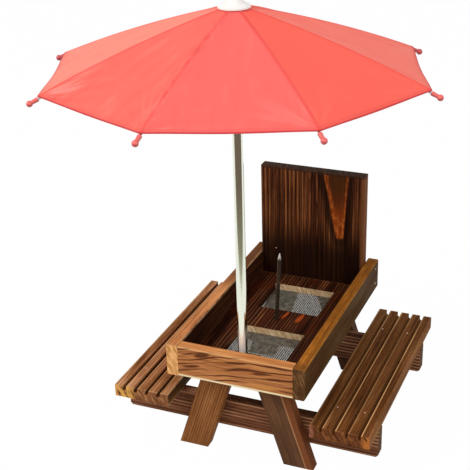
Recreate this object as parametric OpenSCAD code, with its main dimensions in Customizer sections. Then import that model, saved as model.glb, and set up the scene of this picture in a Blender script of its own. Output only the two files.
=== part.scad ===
// Squirrel feeder table: a small picnic table with a nut tray, two grooved benches and a folding umbrella.
// The table stands on z = 0 and its front faces -Y. The umbrella is shown open.

/* [Tray] */
// Width over the two side rails
tray_w = 120; // [100:1:170]
// Length of the side rails
tray_l = 210; // [200:1:280]
// Height of the rails
rail_h = 28; // [20:1:45]
// Thickness of the rails
rail_t = 10; // [7:0.5:14]
// Height of the tray's underside above the ground
tray_under_z = 80; // [72:1:120]
// Thickness of the floor board
floor_t = 6; // [5:0.5:10]
// Height of the back board above the tray's underside
board_h = 116; // [60:1:170]
// Thickness of the back board
board_t = 10; // [7:0.5:14]
// How far the side rails run on behind the back board
board_inset = 7.5; // [0:0.5:20]
// Eased edge of every board
ease = 0.8; // [0.3:0.1:1.5]

/* [Floor windows] */
// Width of each window in the floor board
window_w = 58; // [30:1:70]
// Free room between the wire net and the legs and pole in front of and behind it
net_clear = 5; // [3:0.5:14]
// Width of the bar between the two windows
window_bar = 36; // [16:1:40]
// How far the wire net laps under the floor board
net_lap = 4; // [2:0.5:6]
// Spacing of the wires
net_pitch = 5; // [5:0.5:10]
// Thickness of the net
net_t = 0.7; // [0.5:0.1:1.5]

/* [Corn spike] */
// Diameter of the nail that holds a corn cob
spike_d = 3.4; // [2:0.1:6]
// Height of its point above the floor board
spike_h = 66; // [40:1:100]
// Lean of the nail to the right, in degrees
spike_lean = 3; // [0:0.5:8]

/* [Legs and beams] */
// Width of each leg
leg_w = 25; // [16:0.5:32]
// Thickness of each leg
leg_t = 10; // [7:0.5:14]
// Lean of the legs, in degrees
leg_lean = 18; // [8:1:24]
// Distance from the middle of the table to the middle of a leg's top
leg_top_x = 22; // [19:0.5:26]
// Front face of the front legs, behind the front of the tray
leg_inset = 19; // [11:0.5:24]
// Height of the beams that carry the benches
beam_h = 25; // [15:1:32]
// Thickness of the beams
beam_t = 10; // [7:0.5:14]

/* [Benches] */
// Height of the bench tops
bench_top_z = 56; // [50:1:66]
// Length of each bench
bench_l = 207; // [196:1:280]
// Width of each bench
bench_w = 50; // [40:1:70]
// Thickness of each bench
bench_t = 11; // [9:0.5:16]
// Distance from the middle of the table to a bench's inner edge
bench_x = 63; // [60:0.5:90]
// Number of grooves in a bench
groove_n = 4; // [2:1:4]
// Width of a groove
groove_w = 3.5; // [3:0.1:6]
// Depth of a groove
groove_d = 5; // [3.5:0.1:6]

/* [Umbrella] */
// Turn of the whole umbrella about its pole, in degrees
umbrella_turn = -1.7; // [-22:0.1:22]
// Distance from the front of the tray to the middle of the pole
pole_inset = 20; // [18:0.5:23]
// Outer diameter of the pole
pole_d = 8; // [6:0.1:9]
// Wall of the pole's tube
pole_wall = 0.8; // [0.5:0.1:1.5]
// Height of the rib hinges above the ground
crown_z = 382; // [350:1:440]
// Length of a rib from its hinge to the corner of the cloth
rib_l = 145.5; // [120:0.5:180]
// Slope of the ribs when open, in degrees
rib_droop = 18; // [14:0.5:26]
// How far a rib bows up from a straight line
rib_sag = 3.6; // [2:0.1:4.5]
// Thickness of a rib's wire
rib_d = 1.8; // [1.4:0.1:2]
// Distance along a rib to the stretcher's joint
joint_at = 62; // [50:1:70]
// Thickness of the cloth, seams and hems included
cloth_t = 0.8; // [0.5:0.1:1.2]
// Diameter of the cap on top
cap_d = 24; // [22:0.5:34]
// Diameter of the ball on each rib tip
tip_ball_d = 4.6; // [4:0.1:6]
// Length of a rib tip
tip_l = 9; // [7.5:0.5:14]

/* [Hidden] */
$fn = 48;

RIBS = [1:8];
RIB_NAMES = [for (k = RIBS) str("rib_", k)];
STRETCHER_NAMES = [for (k = RIBS) str("stretcher_", k)];
TIP_NAMES = [for (k = RIBS) str("tip_", k)];
CANOPY_LEFT = [for (k = RIBS) str("canopy_", k, "_left")];
CANOPY_RIGHT = [for (k = RIBS) str("canopy_", k, "_right")];
TABLE_NAMES = [
    "side_rail_left", "side_rail_right", "front_rail", "back_board", "floor_board", "window_net",
    "corn_spike", "pole_block", "bench_left", "bench_right", "front_beam", "rear_beam",
    "front_leg_left", "front_leg_right", "rear_leg_left", "rear_leg_right"
];
UMBRELLA_NAMES = ["pole", "crown", "top_cap", "runner"];

// Plan of the table, measured from the middle of the pole
front_y = -pole_inset;
rails_end_y = front_y + tray_l;
inner_w = tray_w - 2 * rail_t;
inner_front_y = front_y + rail_t;
board_y = rails_end_y - board_inset - board_t;
front_leg_y = front_y + leg_inset;
front_beam_y = front_leg_y + leg_t;
rear_leg_y = board_y - 13.5;
rear_beam_y = rear_leg_y - beam_t;
bench_y = front_y + 3;
bench_end_y = bench_y + bench_l;

// The windows fill the room between the front and rear legs
net_start_y = front_leg_y + leg_t + net_clear + 2;
net_end_y = rear_leg_y - net_clear + 2;
window_mid_y = (net_start_y + net_end_y) / 2;
window_l = (net_end_y - net_start_y - window_bar) / 2 - net_lap;

// Heights
rail_top_z = tray_under_z + rail_h;
floor_top_z = tray_under_z + floor_t;
bench_under_z = bench_top_z - bench_t;
beam_z = bench_under_z - beam_h;
beam_l = 2 * (bench_x + bench_w) + 1;
beam_cut = 2;

// Pole and its seat
fit_gap = 0.05;
slide_gap = 0.08;
pole_r = pole_d / 2;
block_w = pole_d + 16;
block_h = 9;
seat_depth = floor_t - 2;
pole_foot_z = floor_top_z - seat_depth;
pole_top_z = crown_z + 9;

// Corn spike
spike_x = -3.4;
spike_y = window_mid_y;
spike_head_d = spike_d + 3.6;
spike_head_h = 1.6;
spike_point_l = 6;

// Crown and runner, which hold the ribs and stretchers on a ring of wire
wire_r = 0.5;
hinge_r = pole_r + 2.5;
hub_r = hinge_r + 2.3;
slot_start_r = pole_r + 0.95;
eye_r = 1.4;
eye_bore_r = wire_r + 0.15;
slot_gap = 0.25;
crown_up = 1.5;
crown_down = 3.4;
hub_h = 5.2;
sleeve_r = pole_r + 1.5;
sleeve_h = 17;

// Ribs, drawn along x with the bow in z
rib_r = rib_d / 2;
rib_arc_r = rib_l * rib_l / (8 * rib_sag) + rib_sag / 2;
rib_arc_a = 4 * atan(2 * rib_sag / rib_l);
rib_end_l = 4;
lug_drop = 1.6;
lug_r = 1.5;
pin_r = 0.5;
joint_z = rib_rise(joint_at) - lug_drop;
stretcher_l = norm([joint_at, joint_z]);
stretcher_droop = rib_droop - atan2(joint_z, joint_at);
runner_z = crown_z - 2 * stretcher_l * sin(stretcher_droop);

// Stretchers run beside the ribs
bar_t = 1;
bar_h = 2.2;
bar_y = -(rib_r + 0.2 + bar_t / 2);

// Cloth, given by its underside above the line from hinge to corner
cloth_start = -2.6;
cloth_start_z = 1.9 + rib_r;
cloth_end_z = rib_r + 0.35;
cloth_bow = rib_sag - 0.6;
cloth_dip = 0.8;
rim_in = 1.5;
cloth_side_gap = 0.15;
cloth_rows = 8;
cloth_cols = 3;
half_a = 22.5;

// Rib tips, in line with the end of the rib
tip_r = rib_r + 0.8;
tip_gap = 0.3;
tip_socket = 3.4;

// Cap
cap_r = cap_d / 2;
cap_knob_r = 3.6;
cap_neck_r = pole_r + 2.2;
cap_gap = 0.35;

// The frame's origin lies on the ground in the middle of the object's outline
tip_reach = tip_point()[0] * cos(umbrella_turn) + tip_ball_d / 2;
reach_back = max(bench_end_y, rails_end_y, tip_reach);
plan_y = (tip_reach - reach_back) / 2;

// Height of the rib's bow at a distance from the hinge
function rib_rise(u) =
    sqrt(pow(rib_arc_r, 2) - pow(u - rib_l / 2, 2)) - (rib_arc_r - rib_sag);

// A point of the rib's own plane, as radius and height on the umbrella
function on_umbrella(u, w) = [
    hinge_r + u * cos(rib_droop) + w * sin(rib_droop),
    crown_z - u * sin(rib_droop) + w * cos(rib_droop)
];

// Middle of a tip's ball, as radius and height
function tip_point() =
    let (a = rib_arc_a / 2, out = tip_gap + tip_l - tip_ball_d / 2)
    on_umbrella(rib_l + out * cos(a), -out * sin(a));

// A point of the cloth of the half gore beside a rib: t runs out from the crown, v across from the
// rib to the middle of the gore, and lift is the height above the underside
function cloth_point(t, v, lift) =
    let (
        swell = pow(sin(90 * v), 2),
        arch = 4 * t * (1 - t),
        u = cloth_start + (rib_l - rim_in * swell - cloth_start) * t,
        w = cloth_start_z + (cloth_end_z - cloth_start_z) * t + (cloth_bow - cloth_dip * swell) * arch + lift,
        p = on_umbrella(u, w),
        mid = p[0] * cos(half_a),
        x = p[0] + (mid * cos(half_a) - p[0]) * v + cloth_side_gap * sin(half_a) * v,
        y = mid * sin(half_a) * v + cloth_side_gap * (1 - v - cos(half_a) * v)
    )
    [x, y, p[1]];

// Height of the cloth's upper side over a rib, near the middle
function cloth_top_z(r) =
    let (
        u = (r - hinge_r - (cloth_start_z + cloth_t) * sin(rib_droop)) / cos(rib_droop),
        t = (u - cloth_start) / (rib_l - cloth_start),
        w = cloth_start_z + (cloth_end_z - cloth_start_z) * t + cloth_bow * 4 * t * (1 - t) + cloth_t
    )
    on_umbrella(u, w)[1];

// Everything is drawn about the pole and moved to the frame here
module on_plan() {
    translate([0, plan_y, 0]) children();
}

// Turns a piece drawn along x to where rib k points
module toward_rib(k) {
    rotate([0, 0, 45 * (k - 1) + umbrella_turn]) children();
}

// A board with eased long edges. The length runs along y
module board(w, l, h) {
    e = min(ease, w / 4, h / 4);
    rotate([90, 0, 0]) mirror([0, 0, 1]) linear_extrude(l)
        polygon([[e, 0], [w - e, 0], [w, e], [w, h - e], [w - e, h], [e, h], [0, h - e], [0, e]]);
}

module side_rail(side) {
    color("sienna") on_plan()
        translate([side > 0 ? inner_w / 2 : -tray_w / 2, front_y, tray_under_z])
            board(rail_t, tray_l, rail_h);
}

module front_rail() {
    color("peru") on_plan()
        translate([-inner_w / 2, inner_front_y, tray_under_z])
            rotate([0, 0, -90]) board(rail_t, inner_w, rail_h);
}

module back_board() {
    color("#3a2016") on_plan()
        translate([-inner_w / 2, board_y, tray_under_z])
            rotate([90, 0, 0]) mirror([0, 0, 1]) linear_extrude(board_t)
                square([inner_w, board_h]);
}

// The nail's shape, upright, with its head under the floor and gap all round
module nail_form(gap) {
    translate([0, 0, -gap]) cylinder(d = spike_head_d + 2 * gap, h = spike_head_h + gap);
    cylinder(d = spike_d + 2 * gap, h = floor_t + spike_h - spike_point_l);
    translate([0, 0, floor_t + spike_h - spike_point_l])
        cylinder(d1 = spike_d, d2 = 0.4, h = spike_point_l);
}

// The nail leans about the point where it enters the floor board
module lean_spike() {
    translate([spike_x, spike_y, tray_under_z + spike_head_h])
        rotate([0, spike_lean, 0]) translate([0, 0, -spike_head_h + 0.35]) children();
}

module window_cut(side) {
    translate([-window_w / 2, window_mid_y + (side > 0 ? window_bar / 2 : -window_bar / 2 - window_l), 0])
        children();
}

module floor_board() {
    color("#2c1710") on_plan() difference() {
        translate([-inner_w / 2, inner_front_y, tray_under_z])
            cube([inner_w, board_y - inner_front_y, floor_t]);
        for (side = [-1, 1])
            window_cut(side) translate([0, 0, tray_under_z - 1]) cube([window_w, window_l, floor_t + 2]);
        translate([0, 0, pole_foot_z]) cylinder(r = pole_r + fit_gap, h = floor_t);
        lean_spike() nail_form(fit_gap);
        translate([0, 0, tray_under_z - 2]) linear_extrude(2)
            translate([spike_x, spike_y]) circle(d = spike_head_d + 1);
    }
}

module net_panel() {
    w = window_w + 2 * net_lap;
    l = window_l + 2 * net_lap;
    nx = floor((w - net_t) / net_pitch);
    ny = floor((l - net_t) / net_pitch);
    px = (w - net_t) / nx;
    py = (l - net_t) / ny;
    linear_extrude(net_t) difference() {
        square([w, l]);
        for (i = [0:nx - 1], j = [0:ny - 1])
            translate([net_t + i * px, net_t + j * py]) square([px - net_t, py - net_t]);
    }
}

module window_net() {
    color("silver") on_plan() for (side = [-1, 1])
        window_cut(side) translate([-net_lap, -net_lap, tray_under_z - net_t]) net_panel();
}

module corn_spike() {
    color("#5a5148") on_plan() lean_spike() nail_form(0);
}

// A block glued behind the front rail steadies the pole
module pole_block() {
    color("#4a2a18") on_plan() difference() {
        translate([-block_w / 2, inner_front_y, floor_top_z])
            board(block_w, 2 * abs(inner_front_y), block_h);
        translate([0, 0, floor_top_z - 1]) cylinder(r = pole_r + fit_gap, h = block_h + 2);
    }
}

module bench_profile() {
    pitch = (bench_w - groove_n * groove_w) / (groove_n + 1) + groove_w;
    difference() {
        square([bench_w, bench_t]);
        for (i = [1:groove_n])
            translate([i * pitch - groove_w / 2, bench_t - groove_d + groove_w / 2]) {
                circle(d = groove_w);
                translate([-groove_w / 2, 0]) square([groove_w, groove_d]);
            }
    }
}

module bench(side) {
    color("saddlebrown") on_plan() mirror([side > 0 ? 0 : 1, 0, 0])
        translate([bench_x, bench_y, bench_under_z])
            rotate([90, 0, 0]) mirror([0, 0, 1]) linear_extrude(bench_l) bench_profile();
}

// Beams stand on edge across the table. Their lower corners are cut off
module beam(y) {
    color("#4b2b1b") on_plan() translate([0, y, beam_z])
        rotate([90, 0, 0]) mirror([0, 0, 1]) linear_extrude(beam_t)
            polygon([
                [-beam_l / 2 + beam_cut, 0], [beam_l / 2 - beam_cut, 0], [beam_l / 2, beam_cut],
                [beam_l / 2, beam_h], [-beam_l / 2, beam_h], [-beam_l / 2, beam_cut]
            ]);
}

// Legs lean outward. Their tops and feet are cut level
module leg(side, y) {
    half = leg_w / cos(leg_lean) / 2;
    foot_x = leg_top_x + tray_under_z * tan(leg_lean);
    color("#6b3f25") on_plan() mirror([side > 0 ? 0 : 1, 0, 0])
        translate([0, y, 0]) rotate([90, 0, 0]) mirror([0, 0, 1]) linear_extrude(leg_t)
            polygon([
                [foot_x - half, 0], [foot_x + half, 0],
                [leg_top_x + half, tray_under_z], [leg_top_x - half, tray_under_z]
            ]);
}

module pole() {
    color("gainsboro") on_plan() difference() {
        translate([0, 0, pole_foot_z]) cylinder(r = pole_r, h = pole_top_z - pole_foot_z);
        translate([0, 0, pole_foot_z - 1]) cylinder(r = pole_r - pole_wall, h = pole_top_z - pole_foot_z + 2);
    }
}

// A ring of eight straight wires, on which the eyes of the ribs and stretchers turn
module wire_ring() {
    side = 2 * hinge_r * tan(half_a);
    for (k = RIBS) toward_rib(k)
        translate([hinge_r, side / 2, 0]) rotate([90, 0, 0]) cylinder(r = wire_r, h = side);
}

// Slots for eight eyes: each opens outward and, from the wire, up or down
module hub_slots(width, offset, low, high) {
    for (k = RIBS) toward_rib(k)
        translate([slot_start_r, offset - width / 2, low]) cube([hub_r, width, high - low]);
}

module crown() {
    color("whitesmoke") on_plan() translate([0, 0, crown_z]) union() {
        difference() {
            translate([0, 0, -crown_down]) cylinder(r = hub_r, h = crown_down + crown_up);
            translate([0, 0, -crown_down - 1]) cylinder(r = pole_r, h = crown_down + crown_up + 2);
            hub_slots(rib_d + 2 * slot_gap, 0, -crown_down - 1, crown_up + 1);
        }
        wire_ring();
    }
}

module runner() {
    color("whitesmoke") on_plan() translate([0, 0, runner_z]) union() {
        difference() {
            union() {
                translate([0, 0, -hub_h + eye_r]) cylinder(r = hub_r, h = hub_h);
                translate([0, 0, -hub_h + eye_r - sleeve_h]) cylinder(r = sleeve_r, h = sleeve_h + 1);
            }
            translate([0, 0, -hub_h - sleeve_h]) cylinder(r = pole_r + slide_gap, h = 2 * (hub_h + sleeve_h));
            hub_slots(bar_t + 2 * slot_gap, bar_y, -eye_r - slot_gap, hub_h);
        }
        wire_ring();
    }
}

module top_cap() {
    rim_z = cloth_top_z(cap_r) + cap_gap + 0.1;
    throat_z = cloth_top_z(pole_r + 0.6) + cap_gap;
    knob_z = pole_top_z + 4;
    color("white") on_plan() rotate_extrude() difference() {
        union() {
            polygon([
                [0, throat_z], [pole_r + 0.6, throat_z], [cap_r, rim_z], [cap_r, rim_z + 1.1],
                [cap_neck_r + 1.4, throat_z + 1.8], [cap_neck_r, throat_z + 3.4],
                [cap_knob_r + 0.4, knob_z - 0.6], [0, knob_z]
            ]);
            translate([0, knob_z]) intersection() {
                circle(r = cap_knob_r);
                translate([0, -1]) square(2 * cap_knob_r);
            }
        }
        square([pole_r, pole_top_z]);
    }
}

// Places a piece drawn in the rib's own plane on rib k
module on_rib(k) {
    on_plan() toward_rib(k) translate([hinge_r, 0, crown_z])
        rotate([0, rib_droop, 0]) children();
}

module eye(r, t) {
    translate([0, t / 2, 0]) rotate([90, 0, 0]) cylinder(r = r, h = t);
}

// Turns about the middle of the rib's arc, from the hinge end to a little past the corner
module rib_wire(from, past) {
    a0 = 90 + rib_arc_a / 2 - from / rib_arc_r * 180 / PI;
    a1 = 90 - rib_arc_a / 2 - past / rib_arc_r * 180 / PI;
    translate([rib_l / 2, 0, rib_sag - rib_arc_r]) rotate([90, 0, 0]) mirror([0, 0, 1])
        rotate([0, 0, a1]) rotate_extrude(angle = a0 - a1) translate([rib_arc_r, 0]) circle(r = rib_r);
}

module rib(k) {
    color("lightgray") on_rib(k) difference() {
        union() {
            rib_wire(eye_r - 0.5, rib_end_l);
            eye(eye_r, rib_d);
            translate([joint_at, 0, joint_z]) eye(lug_r, rib_d);
        }
        eye(eye_bore_r, rib_d + 1);
        translate([joint_at, 0, joint_z]) eye(pin_r + fit_gap, rib_d + 1);
    }
}

// A flat bar beside the rib, with a pin through the rib's lug and an eye on the runner's wire
module stretcher(k) {
    turn = rib_droop - 2 * stretcher_droop;
    color("darkgray") on_rib(k) translate([joint_at, 0, joint_z]) {
        rotate([0, 180 - stretcher_droop - rib_droop, 0]) translate([0, bar_y, 0]) difference() {
            union() {
                eye(lug_r, bar_t);
                translate([stretcher_l, 0, 0]) eye(eye_r, bar_t);
                translate([0, -bar_t / 2, -bar_h / 2]) cube([stretcher_l - eye_r + 0.4, bar_t, bar_h]);
            }
            translate([stretcher_l, 0, 0]) eye(eye_bore_r, bar_t + 1);
        }
        translate([0, rib_r + 0.5, 0]) rotate([90, 0, 0]) cylinder(r = pin_r, h = rib_r + 0.5 - bar_y);
        translate([0, rib_r + 0.6, 0]) rotate([90, 0, 0]) cylinder(r = pin_r + 0.4, h = 0.4);
    }
}

// Moulded tip: a socket for the rib's end, then a ball
module tip(k) {
    color("#e8564f") on_rib(k) translate([rib_l, 0, 0]) rotate([0, rib_arc_a / 2, 0])
        translate([tip_gap, 0, 0]) rotate([0, 90, 0]) difference() {
            union() {
                cylinder(r1 = tip_r, r2 = tip_r - 0.3, h = tip_l - tip_ball_d / 2);
                translate([0, 0, tip_l - tip_ball_d / 2]) sphere(d = tip_ball_d);
            }
            translate([0, 0, -1]) cylinder(r = rib_r + fit_gap, h = 1 + rib_end_l - tip_gap + 0.1);
        }
}

// One half gore of the cloth. The left one lies on the side that the ribs are counted towards
module half_gore(k, side) {
    rows = cloth_rows;
    cols = cloth_cols;
    n = (rows + 1) * (cols + 1);
    function at(i, j, top) = (top ? n : 0) + i * (cols + 1) + j;
    points = [
        for (lift = [0, cloth_t], i = [0:rows], j = [0:cols]) cloth_point(i / rows, j / cols, lift)
    ];
    sheets = [
        for (i = [0:rows - 1], j = [0:cols - 1]) each [
            [at(i, j, true), at(i, j + 1, true), at(i + 1, j, true)],
            [at(i, j + 1, true), at(i + 1, j + 1, true), at(i + 1, j, true)],
            [at(i, j, false), at(i + 1, j, false), at(i, j + 1, false)],
            [at(i, j + 1, false), at(i + 1, j, false), at(i + 1, j + 1, false)]
        ]
    ];
    rims = [
        for (i = [0:rows - 1]) each [
            [at(i, 0, false), at(i, 0, true), at(i + 1, 0, true)],
            [at(i, 0, false), at(i + 1, 0, true), at(i + 1, 0, false)],
            [at(i, cols, false), at(i + 1, cols, true), at(i, cols, true)],
            [at(i, cols, false), at(i + 1, cols, false), at(i + 1, cols, true)]
        ]
    ];
    ends = [
        for (j = [0:cols - 1]) each [
            [at(0, j, false), at(0, j + 1, true), at(0, j, true)],
            [at(0, j, false), at(0, j + 1, false), at(0, j + 1, true)],
            [at(rows, j, false), at(rows, j, true), at(rows, j + 1, true)],
            [at(rows, j, false), at(rows, j + 1, true), at(rows, j + 1, false)]
        ]
    ];
    color("#ff6f66") on_plan() toward_rib(k) mirror([0, side > 0 ? 0 : 1, 0])
        polyhedron(points, concat(sheets, rims, ends));
}

side_rail(-1);  // side_rail_left
side_rail(1);  // side_rail_right
front_rail();
back_board();
floor_board();
window_net();
corn_spike();
pole_block();
bench(-1);  // bench_left
bench(1);  // bench_right
beam(front_beam_y);  // front_beam
beam(rear_beam_y);  // rear_beam
leg(-1, front_leg_y);  // front_leg_left
leg(1, front_leg_y);  // front_leg_right
leg(-1, rear_leg_y);  // rear_leg_left
leg(1, rear_leg_y);  // rear_leg_right
pole();
crown();
top_cap();
runner();
for (k = RIBS) rib(k);
for (k = RIBS) stretcher(k);
for (k = RIBS) tip(k);
for (k = RIBS) half_gore(k, 1);
for (k = RIBS) half_gore(k, -1);
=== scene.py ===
"""Squirrel feeder table: finishes, cloth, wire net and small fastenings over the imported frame."""
import math
from functools import reduce

import bpy
from mathutils import Matrix, Vector


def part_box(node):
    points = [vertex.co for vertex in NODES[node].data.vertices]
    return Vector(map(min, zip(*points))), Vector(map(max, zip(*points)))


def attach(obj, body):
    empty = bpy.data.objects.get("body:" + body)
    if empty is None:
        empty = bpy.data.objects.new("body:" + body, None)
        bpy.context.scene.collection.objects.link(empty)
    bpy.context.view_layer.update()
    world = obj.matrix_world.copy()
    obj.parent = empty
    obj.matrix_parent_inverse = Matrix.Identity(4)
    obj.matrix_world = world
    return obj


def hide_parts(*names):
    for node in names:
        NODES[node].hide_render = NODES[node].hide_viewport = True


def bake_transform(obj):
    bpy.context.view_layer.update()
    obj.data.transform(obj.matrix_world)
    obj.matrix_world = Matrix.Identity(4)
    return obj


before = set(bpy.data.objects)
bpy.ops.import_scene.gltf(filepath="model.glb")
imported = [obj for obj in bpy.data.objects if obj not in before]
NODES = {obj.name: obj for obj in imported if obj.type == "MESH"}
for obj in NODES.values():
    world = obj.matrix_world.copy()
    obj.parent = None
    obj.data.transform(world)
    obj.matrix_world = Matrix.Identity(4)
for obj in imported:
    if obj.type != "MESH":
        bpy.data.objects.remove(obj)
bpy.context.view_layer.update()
MM = 0.001

# Sizes shared with the frame, in millimetres. x and y are counted from the pole, z from the ground.
PLAN_Y = sum(corner[1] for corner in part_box("pole")) * 500
UMBRELLA_TURN = -1.7
TRAY_Z = 80.0
FLOOR_TOP = 86.0
RAIL_TOP = 108.0
BOARD_TOP = 196.0
LEG_LEAN = math.radians(18.0)
WINDOW = (58.0, 48.0)
WINDOW_MIDS = (44.0, 128.0)
BENCH_X, BENCH_W, BENCH_TOP = 63.0, 50.0, 56.0
SLATS, GROOVE_W = 5, 3.5
SLAT_W = (BENCH_W - (SLATS - 1) * GROOVE_W) / SLATS
CROWN_Z = 382.0
HINGE_R = 6.5
RIB_L = 145.5
DROOP = math.radians(18.0)
HALF = math.radians(22.5)
RIBS = range(1, 9)

# The photograph's viewpoint, in degrees and metres, and its lens in picture points
VIEW_TURN, VIEW_TILT, VIEW_ROLL = 23.2, 24.8, 1.6
VIEW_FROM = (0.3008, -0.7118, 0.5642)
LENS_POINTS, PICTURE_POINTS = 1096.8, 470


def paint(code):
    """Linear colour of a hexadecimal screen colour."""
    parts = [int(code[i:i + 2], 16) / 255 for i in (0, 2, 4)]
    return tuple(c / 12.92 if c <= 0.04045 else ((c + 0.055) / 1.055) ** 2.4 for c in parts) + (1.0,)


class Number:
    """A number that varies over a surface. Ordinary operators add Math nodes."""

    def __init__(self, tree, socket):
        self.tree = tree
        self.socket = socket

    def math(self, operation, *values, clamp=False):
        settings = {"operation": operation, "use_clamp": clamp}
        node = self.tree.add("ShaderNodeMath", settings, dict(enumerate(values)))
        return Number(self.tree, node.outputs[0])

    def __add__(self, other):
        return self.math("ADD", self, other)

    def __radd__(self, other):
        return self.math("ADD", other, self)

    def __sub__(self, other):
        return self.math("SUBTRACT", self, other)

    def __rsub__(self, other):
        return self.math("SUBTRACT", other, self)

    def __mul__(self, other):
        return self.math("MULTIPLY", self, other)

    def __rmul__(self, other):
        return self.math("MULTIPLY", other, self)

    def __truediv__(self, other):
        return self.math("DIVIDE", self, other)

    def __pow__(self, other):
        return self.math("POWER", self, other)

    def __neg__(self):
        return self.math("MULTIPLY", self, -1.0)

    def __abs__(self):
        return self.math("ABSOLUTE", self)

    def least(self, other):
        return self.math("MINIMUM", self, other)

    def most(self, other):
        return self.math("MAXIMUM", self, other)

    def part(self):
        """What is left after the whole number."""
        return self.math("FRACT", self)

    def sine(self):
        return self.math("SINE", self)

    def root(self):
        return self.math("SQRT", self)

    def rise(self, low, high):
        """0 at low, 1 at high, smooth between them. low may be the larger."""
        t = self.math("MULTIPLY", self - low, 1.0 / (high - low), clamp=True)
        return t * t * (3.0 - 2.0 * t)

    def band(self, middle, width):
        """1 at middle, falling to 0 at width on either side."""
        return abs(self - middle).rise(width, 0.0)


class Tree:
    """A node tree, emptied first. One method adds every node."""

    def __init__(self, holder):
        holder.use_nodes = True
        self.nodes = holder.node_tree.nodes
        self.links = holder.node_tree.links
        self.nodes.clear()

    def add(self, kind, settings, sockets):
        """Adds a node. Settings come first; a ramp's stops are given as (place, colour code)."""
        node = self.nodes.new(kind)
        for key, value in settings.items():
            if key == "stops":
                items = node.color_ramp.elements
                while len(items) < len(value):
                    items.new(1.0)
                for item, (place, code) in zip(items, value):
                    item.position = place
                    item.color = paint(code)
            else:
                setattr(node, key, value)
        for key, value in sockets.items():
            self.feed(node.inputs[key], value)
        return node

    def feed(self, socket, value):
        """Links or sets a socket. A text is a colour code."""
        if isinstance(value, Number):
            value = value.socket
        if isinstance(value, bpy.types.NodeSocket):
            self.links.new(value, socket)
        else:
            socket.default_value = paint(value) if isinstance(value, str) else value

    def seen(self):
        """1 for what the camera or a mirror looks at, 0 for what lights the object."""
        path = self.add("ShaderNodeLightPath", {}, {})
        looks = [Number(self, path.outputs[f"Is {ray} Ray"]) for ray in ("Camera", "Glossy", "Transmission")]
        return reduce(Number.most, looks)


class Finish(Tree):
    """A material whose pattern is laid out in the row frame, in millimetres."""

    def __init__(self, name, **constants):
        self.material = bpy.data.materials.new(name)
        super().__init__(self.material)
        named = {key.replace("_", " "): value for key, value in constants.items()}
        self.shader = self.add("ShaderNodeBsdfPrincipled", {}, named)
        self.output = self.add("ShaderNodeOutputMaterial", {}, {0: self.shader.outputs[0]})

    def place(self):
        """Position as three numbers, in millimetres, y counted from the pole."""
        where = self.add("ShaderNodeTexCoord", {}, {}).outputs["Object"]
        apart = self.add("ShaderNodeSeparateXYZ", {}, {0: where})
        x, y, z = [Number(self, out) * 1000.0 for out in apart.outputs]
        return x, y - PLAN_Y, z

    def facing(self):
        """The surface's outward direction as three numbers."""
        out = self.add("ShaderNodeNewGeometry", {}, {}).outputs["True Normal"]
        apart = self.add("ShaderNodeSeparateXYZ", {}, {0: out})
        return [Number(self, o) for o in apart.outputs]

    def own(self, name):
        """A value stored on the mesh's points."""
        return Number(self, self.add("ShaderNodeAttribute", {"attribute_name": name}, {}).outputs["Fac"])

    def noise(self, x, y, z, detail=2.0, rough=0.5):
        """Cloudy values round 0.5, for a place already divided by the size of the clouds."""
        at = self.add("ShaderNodeCombineXYZ", {}, {0: x, 1: y, 2: z}).outputs[0]
        sockets = {"Vector": at, "Scale": 1.0, "Detail": detail, "Roughness": rough}
        return Number(self, self.add("ShaderNodeTexNoise", {"noise_dimensions": "3D"}, sockets).outputs["Fac"])

    def mix(self, amount, low, high):
        """Colour between low and high."""
        return self.add("ShaderNodeMix", {"data_type": "RGBA"}, {0: amount, 6: low, 7: high}).outputs[2]

    def ramp(self, amount, *stops):
        """Colour from a list of (place, colour code)."""
        return self.add("ShaderNodeValToRGB", {"stops": stops}, {0: amount}).outputs[0]

    def done(self, colour, roughness, height=None, depth=0.1, strength=0.6):
        """Closes the finish. depth is the height of the relief in millimetres."""
        self.feed(self.shader.inputs["Base Color"], colour)
        self.feed(self.shader.inputs["Roughness"], roughness)
        if height is not None:
            relief = {"Strength": strength, "Distance": depth * MM, "Height": height}
            self.feed(self.shader.inputs["Normal"], self.add("ShaderNodeBump", {}, relief).outputs[0])
        return self.material


def dress(node, material):
    """Gives a CAD node its finish."""
    piece = NODES[node]
    piece.data.materials.clear()
    piece.data.materials.append(material)


def mm_box(node):
    """The node's box in millimetres, y counted from the pole."""
    return [[c[0] * 1000, c[1] * 1000 - PLAN_Y, c[2] * 1000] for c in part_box(node)]


# Wood. A grain turns x, y, z into along the grain, across the face and through the board.
GRAINS = {
    "x": lambda x, y, z: (x, z, y),
    "y": lambda x, y, z: (y, x, z),
    "z": lambda x, y, z: (z, x, y),
}


def slanted(side):
    """Grain that runs down a leaning leg."""
    s, c = math.sin(LEG_LEAN) * side, math.cos(LEG_LEAN)
    return lambda x, y, z: (z * c - x * s, x * c + z * s, y)


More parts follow.
